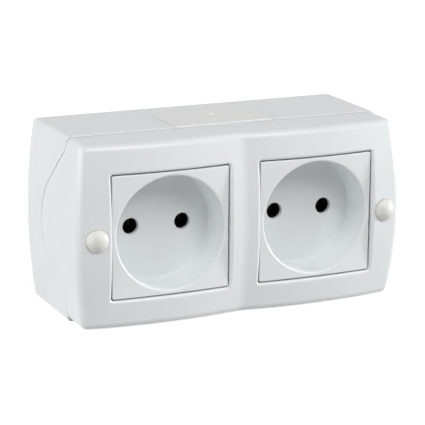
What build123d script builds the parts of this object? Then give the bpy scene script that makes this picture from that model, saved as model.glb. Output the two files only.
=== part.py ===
from build123d import *
import os
from math import asin, atan2, degrees, sqrt, tan

# Surface-mounted double wall socket, in millimetres.
# The pieces are drawn lying on the wall face: X to the right, Y up the wall, Z the depth
# out of the wall. They are stood upright, front towards -Y, when they are written.

# Plug that the sockets take
pin_diameter = 4.8
pin_length = 19.0
pin_spacing = 19.0
pin_hole_clearance = 0.45
pin_hole_lead = 0.3
pin_tip_room = 0.9

# Socket plate with its round well
socket_pitch = 54.0
well_diameter = 39.2
well_depth = 13.4
well_draft = 0.5
well_rim_radius = 0.7
well_floor = 1.8
well_wall = 1.4
well_corner_radius = 0.3
plate_rim = 1.5
plate_bow_radius = 290.0
plate_thickness = 2.6
plate_edge_radius = 0.45
plate_corner_radius = 0.7
plate_skirt_depth = 6.0
plate_skirt_wall = 1.3
plate_recess = 2.2
plate_gap = 0.4
leg_width = 8.0
leg_thickness = 1.6
leg_clearance = 0.25
hook_reach = 1.2
hook_height = 1.8
hook_clearance = 0.15

# Housing
end_margin = 11.85
top_margin = 10.5
side_bow_radius = 200.0
base_top_radius = 2.0
base_bottom_radius = 1.2
cover_corner_radius = 3.0
cover_step = 0.4
least_corner_radius = 0.5
wall = 2.0
back_wall = 2.2
bulge_radius = 168.0
valley_radius = 9.0
front_edge_radius = 2.8
opening_edge_radius = 0.9
opening_corner_radius = 0.9
collar_wall = 1.4
collar_depth = 4.0
seam_depth = 32.8
seam_gap = 0.3
seam_edge_radius = 0.25
skirt_back_depth = 14.0
skirt_radius = 21.0
skirt_shoulder_margin = 4.5
skirt_shoulder_radius = 3.5

# Locating tabs of the base, behind the cover's top and bottom edges
tab_inset = 20.0
tab_width = 14.0
tab_thickness = 1.2
tab_root = 6.0
tab_reach = 2.5
tab_clearance = 0.15

# Cover screws and their caps
cap_inset = 6.65
cap_diameter = 7.7
cap_rim = 0.5
cap_dome = 2.0
cap_edge_radius = 0.4
cap_stem_length = 3.5
cap_stem_clearance = 0.15
cap_stem_root = 0.7
cap_recess_clearance = 0.1
cap_sink = 0.2
screw_head_diameter = 5.6
screw_head_height = 2.2
screw_slot_width = 0.9
screw_slot_depth = 1.1
screw_diameter = 3.0
screw_hole_clearance = 0.2
screw_thread_clearance = 0.05
screw_bite = 9.0
screw_tip_room = 1.0
head_clearance = 0.4
cover_post_depth = 26.0
cover_post_diameter = 8.0
cover_boss_diameter = 10.2
cover_boss_web = 6.0
cover_screw_grip = 12.0
post_web = 1.8
post_web_depth = 11.0

# Contact carrier, held on posts of the base
cable_space = 12.3
carrier_width = 40.0
carrier_height = 36.0
carrier_corner_radius = 2.0
carrier_floor = 2.0
carrier_gap = 0.1
carrier_post_diameter = 7.0
carrier_post_spacing = 25.0
carrier_screw_pad = 1.0
chamber_width = 8.8
chamber_foot = 4.2
rib_wall = 1.4
rib_height = 5.0

# Brass contact and its terminal
strip_thickness = 0.8
strip_width = 6.4
leaf_width = 5.0
leaf_grip = 0.2
leaf_mouth = 0.7
leaf_lead = 4.0
contact_front_room = 8.4
contact_foot = 3.4
terminal_offset = 11.0
terminal_height = 5.5
terminal_clearance = 0.3
ledge_width = 1.3
terminal_margin = 0.6
clamp_width = 7.6
clamp_thickness = 1.2
clamp_lip = 0.8
terminal_screw_diameter = 3.5
terminal_head_diameter = 6.0
terminal_head_height = 2.4
terminal_screw_length = 6.0

# Cable-entry slide in the top wall
entry_width = 36.5
entry_length = 22.2
entry_corner_radius = 4.5
entry_clearance = 0.15
entry_proud = 0.25
entry_edge_radius = 0.2
entry_flange = 1.5
entry_flange_thickness = 1.3
entry_dimple_diameter = 4.0
entry_dimple_depth = 0.5
entry_dimple_back = 7.6
rail_wall = 1.4
rail_lip = 1.0
rail_end = 2.0

# Fixing to the wall behind
wall_hole_diameter = 4.4
wall_hole_spacing_x = 92.0
wall_hole_spacing_y = 48.0
wall_boss_diameter = 9.0
wall_boss_height = 1.2
knockout_diameter = 18.0
knockout_spacing = 28.0
knockout_groove = 1.0
knockout_skin = 0.9

# Sizes worked out from those above
pin_hole_diameter = pin_diameter + 2 * pin_hole_clearance
plate_size = well_diameter + 2 * plate_rim
opening_size = plate_size + 2 * plate_gap
body_width = socket_pitch + opening_size + 2 * end_margin
body_height = opening_size + 2 * top_margin
carrier_back = back_wall + cable_space
chamber_floor = carrier_back + carrier_floor
floor_depth = chamber_floor + pin_tip_room + pin_length
plate_depth = floor_depth + well_depth
front_depth = plate_depth + plate_recess
bulge_axis_depth = front_depth - bulge_radius
carrier_front = floor_depth - well_floor - carrier_gap
socket_places = {"left": -socket_pitch / 2, "right": socket_pitch / 2}
contact_places = {"left": -pin_spacing / 2, "right": pin_spacing / 2}
wall_hole_places = [
    (x, y)
    for x in (-wall_hole_spacing_x / 2, wall_hole_spacing_x / 2)
    for y in (-wall_hole_spacing_y / 2, wall_hole_spacing_y / 2)
]
carrier_post_places = {"upper": carrier_post_spacing / 2, "lower": -carrier_post_spacing / 2}
cap_x = body_width / 2 - cap_inset
cap_recess_radius = cap_diameter / 2 + cap_recess_clearance
counterbore_diameter = screw_head_diameter + 2 * head_clearance
screw_hole_diameter = screw_diameter + 2 * screw_hole_clearance
thread_hole_diameter = screw_diameter + 2 * screw_thread_clearance
cover_screw_seat = cover_post_depth + cover_screw_grip
carrier_screw_seat = chamber_floor + carrier_screw_pad
terminal_depth = chamber_floor + terminal_height
clamp_depth = terminal_depth + strip_thickness
terminal_screw_seat = clamp_depth + clamp_thickness
clamp_length = terminal_head_diameter + 2 * (clamp_thickness + head_clearance)
terminal_reach = clamp_length / 2 + terminal_margin
inner_top = body_height / 2 - wall


def front_at(x, y):
    """Depth of the bulging front at a place, before its edge is rounded."""
    across = abs(x) - socket_pitch / 2
    return bulge_axis_depth + sqrt(bulge_radius**2 - across**2 - y**2)


def cap_place(x):
    """Seat of a screw cap, sunk a little into the front and square to its slope."""
    slope = degrees(asin((abs(x) - socket_pitch / 2) / bulge_radius))
    return Pos(x, 0, front_at(x, 0)) * Rot(0, slope if x > 0 else -slope, 0) * Pos(0, 0, -cap_sink)


def block(x_range, y_range, z_range):
    """Rectangular block between three pairs of limits."""
    size = [high - low for low, high in (x_range, y_range, z_range)]
    middle = [(high + low) / 2 for low, high in (x_range, y_range, z_range)]
    return Pos(*middle) * Box(*size)


def about(middle, width):
    """Limits of a stretch that is centred on a place."""
    return (middle - width / 2, middle + width / 2)


def outwards(x):
    """Limits of the stretch from a place to the nearer side of the housing."""
    return (x, body_width / 2) if x > 0 else (-body_width / 2, x)


def rod(x, y, diameter, z_range):
    """Round bar along the depth."""
    low, high = z_range
    return Pos(x, y, (low + high) / 2) * Cylinder(diameter / 2, high - low)


def square_bar(x, size, corner, z_range):
    """Square bar with rounded corners along the depth, centred on a socket."""
    low, high = z_range
    return extrude(Pos(x, 0, low) * RectangleRounded(size, size, corner), high - low)


def shared_edges(form, facing, region=None):
    """Edges where faces turned to +Z (facing 1) or -Z (facing -1) meet upright walls."""
    turned = [face for face in form.faces() if face.normal_at().Z * facing > 0.5]
    upright = [face for face in form.faces() if abs(face.normal_at().Z) < 0.12]
    walls = [edge for face in upright for edge in face.edges()]
    edges = [edge for face in turned for edge in face.edges() if edge in walls]
    return [edge for edge in edges if region is None or region(edge.center())]


def outline(inset, lower, top_radius, bottom_radius):
    """Barrel outline of the housing: flat top and bottom, bowed sides, round corners."""
    half_height = body_height / 2 - inset - lower
    half_width = body_width / 2 - inset
    bow = side_bow_radius - inset
    corner = half_width - bow + sqrt(bow**2 - half_height**2)
    bottom = Line((-corner, -half_height), (corner, -half_height))
    right = ThreePointArc((corner, -half_height), (half_width, 0), (corner, half_height))
    top = Line((corner, half_height), (-corner, half_height))
    left = ThreePointArc((-corner, half_height), (-half_width, 0), (-corner, -half_height))
    face = make_face([bottom, right, top, left])
    corners = face.vertices().sort_by(Axis.Y)
    face = fillet(corners[:2], max(bottom_radius - inset, least_corner_radius))
    corners = face.vertices().sort_by(Axis.Y)
    return fillet(corners[-2:], max(top_radius - inset, least_corner_radius))


def prism(face, z_range):
    """Straight form of an outline along the depth."""
    low, high = z_range
    return extrude(Pos(0, 0, low) * face, high - low, dir=(0, 0, 1))


def base_form(inset, z_range):
    """Prism of the base's outline."""
    return prism(outline(inset, 0, base_top_radius, base_bottom_radius), z_range)


def front_wheel(inset):
    """Wheel whose rim has the front's section: two bulges with a soft valley between them."""
    radius = bulge_radius - inset
    half_pitch = socket_pitch / 2
    reach = body_width / 2 + wall
    end = sqrt(radius**2 - (reach - half_pitch) ** 2)
    valley = sqrt(radius**2 - half_pitch**2)
    hub = Line((-reach, 0), (reach, 0))
    right_end = Line((reach, 0), (reach, end))
    right_bulge = ThreePointArc((reach, end), (half_pitch, radius), (0, valley))
    left_bulge = ThreePointArc((0, valley), (-half_pitch, radius), (-reach, end))
    left_end = Line((-reach, end), (-reach, 0))
    section = make_face([hub, right_end, right_bulge, left_bulge, left_end])
    crease = section.vertices().sort_by(lambda vertex: abs(vertex.X) + abs(vertex.Y - valley))[0]
    section = fillet(crease, valley_radius + inset)
    standing = Pos(0, 0, bulge_axis_depth) * (Plane.XZ * section)
    return revolve(standing, Axis((0, 0, bulge_axis_depth), (1, 0, 0)))


def cover_form(inset):
    """Solid form that the cover is cut from, a little lower than the base, its front edge rounded."""
    face = outline(inset, cover_step, cover_corner_radius, cover_corner_radius)
    form = prism(face, (inset, front_depth + wall)) & front_wheel(inset)
    rounding = max(front_edge_radius - inset, least_corner_radius)
    return fillet(shared_edges(form, 1), rounding)


def front_of_seam(shift):
    """Space in front of the seam, whose side view dips to a round-bottomed bell."""
    shoulder = body_height / 2 - skirt_shoulder_margin
    drop = seam_depth - skirt_back_depth - skirt_radius
    slope = asin(skirt_radius / sqrt(shoulder**2 + drop**2)) + atan2(drop, shoulder)
    apex = seam_depth - shoulder * tan(slope)
    far = body_height
    line = FilletPolyline(
        [(-far, seam_depth), (-shoulder, seam_depth), (0, apex), (shoulder, seam_depth), (far, seam_depth)],
        radius=[skirt_shoulder_radius, skirt_radius, skirt_shoulder_radius],
    )
    close = Polyline((far, seam_depth), (far, 2 * front_depth), (-far, 2 * front_depth), (-far, seam_depth))
    side_view = make_face([*line.edges(), *close.edges()])
    return extrude(Pos(0, 0, shift) * (Plane.YZ * side_view), body_width, both=True)


def entry_outline(grow):
    """Plan of the cable-entry slide: square at the seam, round at its rear corners."""
    half_width = entry_width / 2 + grow
    rear = seam_depth - entry_length - grow
    corner = entry_corner_radius + grow
    line = FilletPolyline(
        [(-half_width, seam_depth), (-half_width, rear), (half_width, rear), (half_width, seam_depth)],
        radius=corner,
    )
    front = Line((half_width, seam_depth), (-half_width, seam_depth))
    return make_face([*line.edges(), front])


def entry_slab(grow, y_range):
    """Slab of the slide's plan between two heights."""
    low, high = y_range
    plan = Pos(0, high, 0) * (Plane.XZ * entry_outline(grow))
    return extrude(plan, high - low, dir=(0, -1, 0))


def entry_rails():
    """Pair of hooked rails under the top wall, which the slide's flange runs in."""
    flange_edge = entry_width / 2 + entry_flange
    web = (flange_edge + entry_clearance, flange_edge + entry_clearance + rail_wall)
    lip_top = inner_top - entry_clearance - entry_flange_thickness - entry_clearance
    lip = (lip_top - rail_wall, lip_top)
    stretch = (seam_depth - entry_length + entry_corner_radius, seam_depth - rail_end)
    rail = block(web, (lip[0], inner_top + wall / 2), stretch)
    rail += block((web[0] - rail_lip, web[1]), lip, stretch)
    return [rail, mirror(rail, Plane.YZ)]


def locating_tabs():
    """Tongues along the base's top and bottom walls that keep the cover's edges in line."""
    outer = inner_top - cover_step - tab_clearance
    root_height = (outer - tab_thickness, inner_top + wall / 2)
    root_depth = (seam_depth - tab_root, seam_depth - seam_edge_radius)
    tongue_height = (outer - tab_thickness, outer)
    tongue_depth = (seam_depth - tab_root, seam_depth + tab_reach)
    tabs = []
    for x in (-body_width / 2 + tab_inset, body_width / 2 - tab_inset):
        stretch = about(x, tab_width)
        tab = block(stretch, root_height, root_depth) + block(stretch, tongue_height, tongue_depth)
        tabs += [tab, mirror(tab, Plane.XZ)]
    return tabs


def base_fittings():
    """Posts, ribs and bosses that stand on the base's back wall."""
    inside = base_form(wall / 2, (back_wall / 2, seam_depth))
    rib_depth = (back_wall / 2, back_wall + rib_height)
    posts = []
    ribs = []
    for x in (-cap_x, cap_x):
        posts.append(rod(x, 0, cover_post_diameter, (back_wall / 2, cover_post_depth)))
        ribs.append(block(outwards(x), about(0, post_web), (back_wall / 2, post_web_depth)))
    for place in wall_hole_places:
        posts.append(rod(*place, wall_boss_diameter, (back_wall / 2, back_wall + wall_boss_height)))
    for x in socket_places.values():
        ribs.append(block(about(x, rib_wall), about(0, carrier_post_spacing), rib_depth))
        for y in carrier_post_places.values():
            posts.append(rod(x, y, carrier_post_diameter, (back_wall / 2, carrier_back)))
            ribs.append(block(outwards(x), about(y, rib_wall), rib_depth))
    return [*posts, *[rib & inside for rib in ribs]]


def base_holes():
    """Screw holes, wall-fixing holes, knock-out grooves and the notch of the cable entry."""
    bite = screw_bite + screw_tip_room
    holes = [entry_slab(entry_clearance, (inner_top - wall / 4, body_height / 2 + wall))]
    for x in (-cap_x, cap_x):
        holes.append(rod(x, 0, thread_hole_diameter, about(cover_post_depth, 2 * bite)))
    for place in wall_hole_places:
        holes.append(rod(*place, wall_hole_diameter, about(0, 4 * back_wall)))
    for x in socket_places.values():
        for y in carrier_post_places.values():
            holes.append(rod(x, y, thread_hole_diameter, about(carrier_back, 2 * bite)))
    for y in about(0, knockout_spacing):
        groove = rod(0, y, knockout_diameter + 2 * knockout_groove, (-wall, back_wall - knockout_skin))
        holes.append(groove - rod(0, y, knockout_diameter, (-wall, back_wall)))
    return holes


def rear_box():
    """Base that is screwed to the wall, with posts for the carriers and the cover."""
    form = base_form(0, (0, seam_depth + wall)) - front_of_seam(0)
    form = fillet(shared_edges(form, 1), seam_edge_radius)
    box = form - base_form(wall, (back_wall, seam_depth + 2 * wall))
    box += [*base_fittings(), *locating_tabs(), *entry_rails()]
    return box - base_holes()


def front_cover():
    """Moulded front: two bulging halves, square openings, screw bosses and side skirts."""
    form = cover_form(0) & front_of_seam(seam_gap)
    form = fillet(shared_edges(form, -1), seam_edge_radius)
    inside = cover_form(wall / 2)
    collar_back = plate_depth - plate_thickness - collar_depth
    collar_size = opening_size + 2 * collar_wall
    collar_corner = opening_corner_radius + collar_wall
    stiffeners = []
    for x in socket_places.values():
        stiffeners.append(square_bar(x, collar_size, collar_corner, (collar_back, front_depth)))
    boss_depth = (cover_post_depth, front_depth)
    for x in (-cap_x, cap_x):
        boss = rod(x, 0, cover_boss_diameter, boss_depth)
        stiffeners.append(boss + block(outwards(x), about(0, cover_boss_web), boss_depth))
    cover = form - cover_form(wall) + [stiffener & inside for stiffener in stiffeners]
    through = (0, 2 * front_depth)
    cover -= [square_bar(x, opening_size, opening_corner_radius, through) for x in socket_places.values()]

    def at_opening_front(place):
        reach = opening_size / 2 + plate_gap
        beside = abs(abs(place.X) - socket_pitch / 2) < reach and abs(place.Y) < reach
        return beside and place.Z > plate_depth - plate_recess

    cover = fillet(shared_edges(cover, 1, at_opening_front), opening_edge_radius)
    holes = []
    for x in (-cap_x, cap_x):
        holes.append(cap_place(x) * rod(0, 0, 2 * cap_recess_radius, (0, front_depth)))
        holes.append(rod(x, 0, counterbore_diameter, (cover_screw_seat, front_depth)))
        holes.append(rod(x, 0, screw_hole_diameter, (0, front_depth)))
    return cover - holes


def entry_plate():
    """Slide that closes the cable entry, with a drilling mark and a flange inside the wall."""
    top = body_height / 2 + entry_proud
    flange_top = inner_top - entry_clearance
    flange_bottom = flange_top - entry_flange_thickness
    panel = entry_slab(0, (flange_bottom, top))
    panel = fillet(panel.faces().sort_by(Axis.Y)[-1].edges(), entry_edge_radius)
    flange = entry_slab(entry_flange, (flange_bottom, flange_top))
    mark_place = Pos(0, top, seam_depth - entry_length + entry_dimple_back) * Rot(90, 0, 0)
    mark = mark_place * Cylinder(entry_dimple_diameter / 2, 2 * entry_dimple_depth)
    return panel + flange - mark


def socket_plate():
    """Square plate and round well with its pin holes in one moulding, with two hooked legs."""
    rim_radius = well_diameter / 2
    floor_radius = rim_radius - well_draft
    floor_back = floor_depth - well_floor
    plate_back = plate_depth - plate_thickness
    bow_place = Pos(0, 0, plate_depth - plate_bow_radius) * Rot(90, 0, 0)
    bow = bow_place * Cylinder(plate_bow_radius, 2 * plate_size)
    face = square_bar(0, plate_size, plate_corner_radius, (plate_back, front_depth)) & bow
    face = fillet(shared_edges(face, 1), plate_edge_radius)
    skirt_back = plate_back - plate_skirt_depth
    skirt = square_bar(0, plate_size, plate_corner_radius, (skirt_back, plate_back))
    inner_size = plate_size - 2 * plate_skirt_wall
    skirt -= square_bar(0, inner_size, plate_corner_radius, (skirt_back - wall, plate_back))
    cup_length = plate_back - floor_back
    cup = Cone(floor_radius + well_wall, rim_radius + well_wall, cup_length)
    cup = Pos(0, 0, floor_back + cup_length / 2) * cup
    cup = cup & square_bar(0, plate_size, plate_corner_radius, (floor_back, plate_back))
    well_length = front_depth - floor_depth
    well_mouth = floor_radius + well_draft * well_length / well_depth
    well = Pos(0, 0, floor_depth + well_length / 2) * Cone(floor_radius, well_mouth, well_length)
    well = fillet(well.edges().sort_by(Axis.Z)[0], well_corner_radius)
    plate = face + skirt + cup - well

    def at_well_rim(place):
        return place.Z > plate_back and sqrt(place.X**2 + place.Y**2) < rim_radius + plate_rim / 2

    plate = fillet(shared_edges(plate, 1, at_well_rim), well_rim_radius)
    holes = []
    lead_radius = pin_hole_diameter / 2 + pin_hole_lead
    lead = Cone(lead_radius - 2 * pin_hole_lead, lead_radius, 2 * pin_hole_lead)
    for x in contact_places.values():
        holes.append(rod(x, 0, pin_hole_diameter, (0, plate_depth)))
        holes.append(Pos(x, 0, floor_depth - pin_hole_lead) * lead)
    leg = plate_leg()
    return plate + [leg, mirror(leg, Plane.XZ)] - holes


def plate_leg():
    """Leg behind the well that reaches past the carrier and hooks behind it."""
    inner = carrier_height / 2 + leg_clearance
    hook_front = carrier_back - hook_clearance
    hook_back = hook_front - hook_height
    across = about(0, leg_width)
    leg = block(across, (inner, inner + leg_thickness), (hook_back, floor_depth - well_floor / 2))
    catch = Polyline((inner, hook_front), (inner - hook_reach, hook_front), (inner, hook_back), close=True)
    return leg + extrude(Plane.YZ * make_face(catch), leg_width / 2, both=True)


def contact_carrier():
    """Insulating block with a chamber for each contact, open to the front and the top."""
    plan = Pos(0, 0, carrier_back) * RectangleRounded(carrier_width, carrier_height, carrier_corner_radius)
    carrier = extrude(plan, carrier_front - carrier_back)
    chamber_height = (-chamber_foot, carrier_height / 2 + wall)
    ledge_height = (terminal_offset - terminal_reach, carrier_height / 2 + wall)
    ledge_depth = (chamber_floor - wall, terminal_depth)
    hollows = []
    for x in contact_places.values():
        chamber = block(about(x, chamber_width), chamber_height, (chamber_floor, carrier_front + wall))
        for side in (-1, 1):
            ledge_middle = x + side * chamber_width / 2
            chamber -= block(about(ledge_middle, 2 * ledge_width), ledge_height, ledge_depth)
        hollows.append(chamber)
    for y in carrier_post_places.values():
        hollows.append(rod(0, y, counterbore_diameter, (carrier_screw_seat, carrier_front + wall)))
        hollows.append(rod(0, y, screw_hole_diameter, (carrier_back - wall, carrier_front)))
    return carrier - hollows


def spring_contact():
    """Folded brass strip: two leaves that grip the pin and a raised terminal tongue."""
    half_strip = strip_width / 2
    grip = pin_diameter / 2 - leaf_grip
    front = carrier_front - contact_front_room
    floor_top = chamber_floor + strip_thickness
    grip_depth = front - leaf_lead
    leaf = Polyline(
        (half_strip, chamber_floor),
        (half_strip, floor_top + strip_thickness),
        (grip + strip_thickness, grip_depth),
        (grip + leaf_mouth + strip_thickness, front),
        (grip + leaf_mouth, front),
        (grip, grip_depth),
        (half_strip - strip_thickness, floor_top),
        (half_strip - strip_thickness, chamber_floor),
        close=True,
    )
    leaf = extrude(Plane.XZ * make_face(leaf), leaf_width / 2, both=True)
    strip_end = terminal_offset - terminal_reach
    foot = block((-half_strip, half_strip), (-contact_foot, strip_end), (chamber_floor, floor_top))
    half_tongue = chamber_width / 2 - terminal_clearance
    riser_width = chamber_width - 2 * ledge_width - 2 * terminal_clearance
    riser_height = (strip_end - strip_thickness, strip_end)
    riser = block(about(0, riser_width), riser_height, (chamber_floor, clamp_depth))
    tongue_end = carrier_height / 2 - terminal_clearance
    tongue = block((-half_tongue, half_tongue), (strip_end, tongue_end), (terminal_depth, clamp_depth))
    contact = foot + [leaf, mirror(leaf, Plane.YZ), riser, tongue]
    hole = terminal_screw_diameter + 2 * screw_thread_clearance
    return contact - rod(0, terminal_offset, hole, (terminal_depth - wall, clamp_depth + wall))


def terminal_clamp():
    """Pressure plate on the terminal, with a turned-up lip that keeps the wire in."""
    stretch = about(terminal_offset, clamp_length)
    clamp = block(about(0, clamp_width), stretch, (clamp_depth, terminal_screw_seat))
    lip = (stretch[0], stretch[0] + clamp_thickness)
    clamp += block(about(0, clamp_width), lip, (clamp_depth, terminal_screw_seat + clamp_lip))
    hole = terminal_screw_diameter + 2 * screw_hole_clearance
    return clamp - rod(0, terminal_offset, hole, (clamp_depth - wall, terminal_screw_seat + wall))


def slotted_screw(shank, head, head_height, seat, length):
    """Slotted pan-head screw along the depth, its head resting at the seat."""
    rounding = head_height / 3
    top = rod(0, 0, head, (seat, seat + head_height))
    top = fillet(top.edges().sort_by(Axis.Z)[-1], rounding)
    slot_depth = (seat + head_height - screw_slot_depth, seat + 2 * head_height)
    top -= block(about(0, 2 * head), about(0, screw_slot_width), slot_depth)
    stem = rod(0, 0, shank, (seat - length, seat))
    stem = chamfer(stem.edges().sort_by(Axis.Z)[0], shank / 6)
    return top + stem


def screw_cap(x):
    """Domed cap that lies square to the front's slope, with a hollow stem in the screw's counterbore."""
    radius = cap_diameter / 2
    stem_radius = counterbore_diameter / 2 - cap_stem_clearance
    dome_radius = (radius**2 + cap_dome**2) / (2 * cap_dome)
    height = cap_rim + cap_dome
    head = rod(0, 0, cap_diameter, (0, height)) & (Pos(0, 0, height - dome_radius) * Sphere(dome_radius))
    head = cap_place(x) * fillet(shared_edges(head, 1), cap_edge_radius)
    seat = front_at(x, 0) - cap_sink
    stem = rod(x, 0, 2 * stem_radius, (seat - cap_stem_length, seat + cap_stem_root))
    return head + stem - rod(x, 0, stem_radius, (seat - 2 * cap_stem_length, seat - cap_stem_length / 3))


def all_pieces():
    """Every piece at its place, by node name."""
    pieces = {
        "rear_box": rear_box(),
        "front_cover": front_cover(),
        "top_entry_plate": entry_plate(),
    }
    plate = socket_plate()
    carrier = contact_carrier()
    contact = spring_contact()
    clamp = terminal_clamp()
    housing_head = (screw_head_diameter, screw_head_height)
    terminal_head = (terminal_head_diameter, terminal_head_height)
    cover_length = cover_screw_grip + screw_bite
    carrier_length = carrier_screw_seat - carrier_back + screw_bite
    cover_screw = slotted_screw(screw_diameter, *housing_head, cover_screw_seat, cover_length)
    carrier_screw = slotted_screw(screw_diameter, *housing_head, carrier_screw_seat, carrier_length)
    terminal_screw = slotted_screw(
        terminal_screw_diameter, *terminal_head, terminal_screw_seat, terminal_screw_length
    )
    for side, x in (("left", -cap_x), ("right", cap_x)):
        pieces[f"{side}_cover_screw"] = Pos(x, 0, 0) * cover_screw
        pieces[f"{side}_screw_cap"] = screw_cap(x)
    for side, x in socket_places.items():
        pieces[f"{side}_socket_plate"] = Pos(x, 0, 0) * plate
        pieces[f"{side}_contact_carrier"] = Pos(x, 0, 0) * carrier
        for level, y in carrier_post_places.items():
            pieces[f"{side}_socket_{level}_carrier_screw"] = Pos(x, y, 0) * carrier_screw
        for hand, offset in contact_places.items():
            place = Pos(x + offset, 0, 0)
            screw_place = Pos(x + offset, terminal_offset, 0)
            pieces[f"{side}_socket_{hand}_contact"] = place * contact
            pieces[f"{side}_socket_{hand}_terminal_clamp"] = place * clamp
            pieces[f"{side}_socket_{hand}_terminal_screw"] = screw_place * terminal_screw
    return pieces


os.makedirs("parts", exist_ok=True)
for name, piece in all_pieces().items():
    export_step(Rot(90, 0, 0) * piece, f"parts/{name}.step")
print("overall", body_width, front_depth, body_height, "plate", plate_depth, "floor", floor_depth)
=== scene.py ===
"""Double wall socket in a white studio: finishes of its pieces, floor, lamps and camera."""
from math import cos, radians, sin

import bpy
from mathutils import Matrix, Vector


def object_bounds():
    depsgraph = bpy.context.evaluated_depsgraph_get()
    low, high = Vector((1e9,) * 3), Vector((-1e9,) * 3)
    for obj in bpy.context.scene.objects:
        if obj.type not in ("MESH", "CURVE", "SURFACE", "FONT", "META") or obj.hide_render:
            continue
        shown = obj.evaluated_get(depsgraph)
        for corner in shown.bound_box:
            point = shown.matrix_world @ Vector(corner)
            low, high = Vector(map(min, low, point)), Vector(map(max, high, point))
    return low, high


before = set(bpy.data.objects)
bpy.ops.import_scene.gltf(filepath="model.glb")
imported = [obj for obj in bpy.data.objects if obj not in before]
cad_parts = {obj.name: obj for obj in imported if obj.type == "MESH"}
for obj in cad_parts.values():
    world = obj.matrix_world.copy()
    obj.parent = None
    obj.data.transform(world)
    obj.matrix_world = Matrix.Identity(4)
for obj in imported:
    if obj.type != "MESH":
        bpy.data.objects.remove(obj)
cad_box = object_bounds()

# Lengths are in metres, angles in degrees
MM = 0.001

# Photograph's viewpoint
EYE = (-277.52 * MM, -632.39 * MM, 172.02 * MM)
EYE_TURN = (75.43, -0.41, -24.37)
LENS = 167.0
NEAREST_SEEN = 10 * MM

# Floor and surround: what the floor throws back on the part, then its glow and the share
# of the lamps' light that it shows to the eye
WHITE = (1.0, 1.0, 1.0, 1.0)
FLOOR_SIZE = 6.0
FLOOR_BOUNCE = (0.55, 0.55, 0.55, 1.0)
FLOOR_GLOW = 0.84
FLOOR_LIT = (0.45, 0.45, 0.45, 1.0)
SKY_LEVEL = 0.02
BACKGROUND_LEVEL = 1.0

# Soft lamps: turn to the right of the part's front, rise above it, side, power in watts
LAMP_DISTANCE = 2.0
LAMP_AIM = (0.0, -26 * MM, 0.0)
LAMPS = {
    "high_front_softbox": (10, 46, 1.1, 22.3),
    "high_left_softbox": (-60, 43, 1.1, 6.4),
    "low_left_softbox": (-70, 8, 0.64, 7.2),
    "left_softbox": (-112, 12, 1.1, 20.2),
    "low_right_softbox": (77, 6, 0.45, 29.0),
}

# Finishes, as the colours they reflect: the main one and the one of their faint marks
HOUSING_WHITE = (0.803, 0.826, 0.834, 1.0)
HOUSING_SHADE = (0.783, 0.807, 0.816, 1.0)
SOCKET_WHITE = (0.812, 0.838, 0.846, 1.0)
SOCKET_SHADE = (0.794, 0.82, 0.829, 1.0)
ENTRY_WHITE = (0.862, 0.868, 0.856, 1.0)
ENTRY_SHADE = (0.842, 0.848, 0.834, 1.0)
CAP_WHITE = (0.78, 0.772, 0.73, 1.0)
CAP_SHADE = (0.76, 0.752, 0.707, 1.0)
CARRIER_BLACK = (0.018, 0.018, 0.02, 1.0)
CARRIER_SHADE = (0.03, 0.03, 0.032, 1.0)
BRASS_BRIGHT = (0.48, 0.34, 0.15, 1.0)
BRASS_TARNISH = (0.24, 0.16, 0.07, 1.0)
STEEL_BRIGHT = (0.72, 0.72, 0.70, 1.0)
STEEL_DULL = (0.52, 0.53, 0.52, 1.0)

# Marks on the finishes: the middle range of a noise, the sizes of its lumps, and how
# strongly the grain and the streaks stand out
NOISE_LOW = 0.3
NOISE_HIGH = 0.7
FLOW_MARK = 14 * MM
POLISH_MARK = 2.5 * MM
GRAIN_RELIEF = 0.35
PLASTIC_IOR = 1.49
TARNISH_PATCH = 2.2 * MM
STREAK = 1.0 * MM
STREAK_DEPTH = 0.004 * MM
STREAK_RELIEF = 0.4

# Painted shade in the narrow gaps between pieces: its dark grey, how near a facing wall has to
# be, and how open a spot is where it is fully shaded and where it is unshaded
PAINTED_GAP_GREY = (0.09, 0.09, 0.095, 1.0)
GAP_REACH = 0.6 * MM
GAP_RAYS = 8
GAP_FULLY_SHADED = 0.15
GAP_UNSHADED = 0.5


def new_material(name):
    """Empty node material with its shader and its object coordinates."""
    material = bpy.data.materials.new(name)
    material.use_nodes = True
    shader = material.node_tree.nodes["Principled BSDF"]
    place = material.node_tree.nodes.new("ShaderNodeTexCoord")
    return material, material.node_tree, shader, place.outputs["Object"]


def noise(tree, place, size, detail):
    """Noise whose lumps are about the given size across."""
    node = tree.nodes.new("ShaderNodeTexNoise")
    node.inputs["Scale"].default_value = 1 / size
    node.inputs["Detail"].default_value = detail
    tree.links.new(place, node.inputs["Vector"])
    return node.outputs["Fac"]


def between(tree, factor, low, high):
    """Value that goes from low to high over the middle of a noise."""
    node = tree.nodes.new("ShaderNodeMapRange")
    node.inputs["From Min"].default_value = NOISE_LOW
    node.inputs["From Max"].default_value = NOISE_HIGH
    node.inputs["To Min"].default_value = low
    node.inputs["To Max"].default_value = high
    tree.links.new(factor, node.inputs["Value"])
    return node.outputs["Result"]


def blended(tree, factor, first, second):
    """Colour that goes from the first to the second over the middle of a noise."""
    node = tree.nodes.new("ShaderNodeMix")
    node.data_type = "RGBA"
    node.inputs["A"].default_value = first
    node.inputs["B"].default_value = second
    tree.links.new(between(tree, factor, 0, 1), node.inputs["Factor"])
    return node.outputs["Result"]


def bump(tree, height, depth, strength):
    """Normal of a surface that noise roughens to a depth."""
    node = tree.nodes.new("ShaderNodeBump")
    node.inputs["Distance"].default_value = depth
    node.inputs["Strength"].default_value = strength
    tree.links.new(height, node.inputs["Height"])
    return node.outputs["Normal"]


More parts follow.
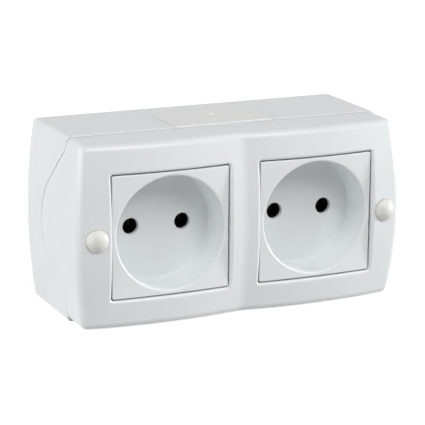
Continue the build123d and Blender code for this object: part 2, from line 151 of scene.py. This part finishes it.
def painted_gap_shade(tree, colour):
    """Colour with painted shade: it turns to a dark grey in the narrow gaps between pieces."""
    gap = tree.nodes.new("ShaderNodeAmbientOcclusion")
    gap.samples = GAP_RAYS
    gap.inputs["Distance"].default_value = GAP_REACH
    unshaded = tree.nodes.new("ShaderNodeMapRange")
    unshaded.inputs["From Min"].default_value = GAP_FULLY_SHADED
    unshaded.inputs["From Max"].default_value = GAP_UNSHADED
    tree.links.new(gap.outputs["AO"], unshaded.inputs["Value"])
    node = tree.nodes.new("ShaderNodeMix")
    node.data_type = "RGBA"
    node.inputs["A"].default_value = PAINTED_GAP_GREY
    tree.links.new(colour, node.inputs["B"])
    tree.links.new(unshaded.outputs["Result"], node.inputs["Factor"])
    return node.outputs["Result"]


def moulded_plastic(name, white, shade, roughness, grain, depth):
    """Satin thermoplastic with faint flow marks, the fine grain of its mould, and painted
    shade in the narrow gaps between pieces.
    """
    material, tree, shader, place = new_material(name)
    flow = noise(tree, place, FLOW_MARK, detail=3.0)
    polish = noise(tree, place, POLISH_MARK, detail=2.0)
    texture = noise(tree, place, grain, detail=2.0)
    # Painted shade: the colour turns dark grey in the narrow gaps between pieces
    colour = painted_gap_shade(tree, blended(tree, flow, white, shade))
    tree.links.new(colour, shader.inputs["Base Color"])
    tree.links.new(between(tree, polish, *roughness), shader.inputs["Roughness"])
    tree.links.new(bump(tree, texture, depth, GRAIN_RELIEF), shader.inputs["Normal"])
    shader.inputs["IOR"].default_value = PLASTIC_IOR
    return material


def metal(name, bright, dull, roughness, across):
    """Stamped or turned metal, dulled in patches and finely streaked.

    The streaks are finer by these factors along the three axes.
    """
    material, tree, shader, place = new_material(name)
    patches = noise(tree, place, TARNISH_PATCH, detail=4.0)
    mapping = tree.nodes.new("ShaderNodeMapping")
    mapping.inputs["Scale"].default_value = across
    tree.links.new(place, mapping.inputs["Vector"])
    lines = noise(tree, mapping.outputs["Vector"], STREAK, detail=3.0)
    tree.links.new(blended(tree, patches, bright, dull), shader.inputs["Base Color"])
    tree.links.new(between(tree, lines, *roughness), shader.inputs["Roughness"])
    tree.links.new(bump(tree, lines, STREAK_DEPTH, STREAK_RELIEF), shader.inputs["Normal"])
    shader.inputs["Metallic"].default_value = 1.0
    return material


def dress(material, *endings):
    """Gives a material to every node whose name ends in one of these words."""
    for name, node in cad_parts.items():
        if name.endswith(endings):
            node.data.materials.clear()
            node.data.materials.append(material)


def finishes():
    """Materials of all the pieces."""
    housing = moulded_plastic(
        "housing_white", HOUSING_WHITE, HOUSING_SHADE,
        roughness=(0.28, 0.36), grain=0.28 * MM, depth=0.01 * MM,
    )
    dress(housing, "rear_box", "front_cover")
    socket = moulded_plastic(
        "socket_white", SOCKET_WHITE, SOCKET_SHADE,
        roughness=(0.30, 0.38), grain=0.22 * MM, depth=0.006 * MM,
    )
    dress(socket, "socket_plate")
    entry = moulded_plastic(
        "entry_cream", ENTRY_WHITE, ENTRY_SHADE,
        roughness=(0.38, 0.46), grain=0.28 * MM, depth=0.01 * MM,
    )
    dress(entry, "top_entry_plate")
    cap = moulded_plastic(
        "cap_warm_white", CAP_WHITE, CAP_SHADE,
        roughness=(0.36, 0.44), grain=0.20 * MM, depth=0.006 * MM,
    )
    dress(cap, "screw_cap")
    carrier = moulded_plastic(
        "carrier_black", CARRIER_BLACK, CARRIER_SHADE,
        roughness=(0.45, 0.6), grain=0.35 * MM, depth=0.02 * MM,
    )
    dress(carrier, "contact_carrier")
    brass = metal(
        "contact_brass", BRASS_BRIGHT, BRASS_TARNISH,
        roughness=(0.22, 0.4), across=(1.0, 1.0, 8.0),
    )
    dress(brass, "_contact")
    steel = metal(
        "plated_steel", STEEL_BRIGHT, STEEL_DULL,
        roughness=(0.25, 0.45), across=(6.0, 1.0, 6.0),
    )
    dress(steel, "cover_screw", "carrier_screw", "terminal_screw", "terminal_clamp")


def seen_directly(tree):
    """One for rays that show the background itself: to the eye, mirrored or through glass."""
    path = tree.nodes.new("ShaderNodeLightPath")
    any_ray = path.outputs["Is Camera Ray"]
    for ray in ("Is Glossy Ray", "Is Transmission Ray"):
        either = tree.nodes.new("ShaderNodeMath")
        either.operation = "MAXIMUM"
        tree.links.new(any_ray, either.inputs[0])
        tree.links.new(path.outputs[ray], either.inputs[1])
        any_ray = either.outputs["Value"]
    return any_ray


def white_floor():
    """Pale floor under the part, white to the eye except where the part shades it."""
    low = cad_box[0]
    bpy.ops.object.select_all(action="DESELECT")
    bpy.ops.mesh.primitive_plane_add(size=FLOOR_SIZE, location=(0, 0, low[2]))
    floor = bpy.context.object
    floor.name = "floor"
    material = bpy.data.materials.new("floor_white")
    material.use_nodes = True
    tree = material.node_tree
    tree.nodes.remove(tree.nodes["Principled BSDF"])
    bounce = tree.nodes.new("ShaderNodeBsdfDiffuse")
    bounce.inputs["Color"].default_value = FLOOR_BOUNCE
    glow = tree.nodes.new("ShaderNodeEmission")
    glow.inputs["Color"].default_value = WHITE
    glow.inputs["Strength"].default_value = FLOOR_GLOW
    lit = tree.nodes.new("ShaderNodeBsdfDiffuse")
    lit.inputs["Color"].default_value = FLOOR_LIT
    seen = tree.nodes.new("ShaderNodeAddShader")
    tree.links.new(glow.outputs["Emission"], seen.inputs[0])
    tree.links.new(lit.outputs["BSDF"], seen.inputs[1])
    mix = tree.nodes.new("ShaderNodeMixShader")
    tree.links.new(seen_directly(tree), mix.inputs["Fac"])
    tree.links.new(bounce.outputs["BSDF"], mix.inputs[1])
    tree.links.new(seen.outputs["Shader"], mix.inputs[2])
    tree.links.new(mix.outputs["Shader"], tree.nodes["Material Output"].inputs["Surface"])
    floor.data.materials.append(material)


def white_surround():
    """Even sky light, with a white background where it is seen."""
    world = bpy.data.worlds.new("surround")
    bpy.context.scene.world = world
    world.use_nodes = True
    tree = world.node_tree
    sky = tree.nodes["Background"]
    sky.inputs["Color"].default_value = WHITE
    sky.inputs["Strength"].default_value = SKY_LEVEL
    seen = tree.nodes.new("ShaderNodeBackground")
    seen.inputs["Color"].default_value = WHITE
    seen.inputs["Strength"].default_value = BACKGROUND_LEVEL
    mix = tree.nodes.new("ShaderNodeMixShader")
    tree.links.new(seen_directly(tree), mix.inputs["Fac"])
    tree.links.new(sky.outputs["Background"], mix.inputs[1])
    tree.links.new(seen.outputs["Background"], mix.inputs[2])
    tree.links.new(mix.outputs["Shader"], tree.nodes["World Output"].inputs["Surface"])


def softbox(name, turn, rise, side, power):
    """Square soft lamp aimed at the part: turn is to the right of its front, rise above it."""
    away = (
        sin(radians(turn)) * cos(radians(rise)) * LAMP_DISTANCE,
        -cos(radians(turn)) * cos(radians(rise)) * LAMP_DISTANCE,
        sin(radians(rise)) * LAMP_DISTANCE,
    )
    place = [aim + step for aim, step in zip(LAMP_AIM, away)]
    tilt = (radians(90 - rise), 0, radians(turn))
    bpy.ops.object.light_add(type="AREA", location=place, rotation=tilt)
    lamp = bpy.context.object
    lamp.name = name
    lamp.data.shape = "SQUARE"
    lamp.data.size = side
    lamp.data.energy = power


def studio():
    """Floor, surround and lamps."""
    white_floor()
    white_surround()
    for name, setting in LAMPS.items():
        softbox(name, *setting)


def photograph_camera():
    """Camera at the photograph's viewpoint."""
    turn = [radians(angle) for angle in EYE_TURN]
    bpy.ops.object.camera_add(location=EYE, rotation=turn)
    camera = bpy.context.object
    camera.data.lens = LENS
    camera.data.clip_start = NEAREST_SEEN
    bpy.context.scene.camera = camera


finishes()
studio()
photograph_camera()
bpy.context.scene.view_settings.view_transform = "Standard"
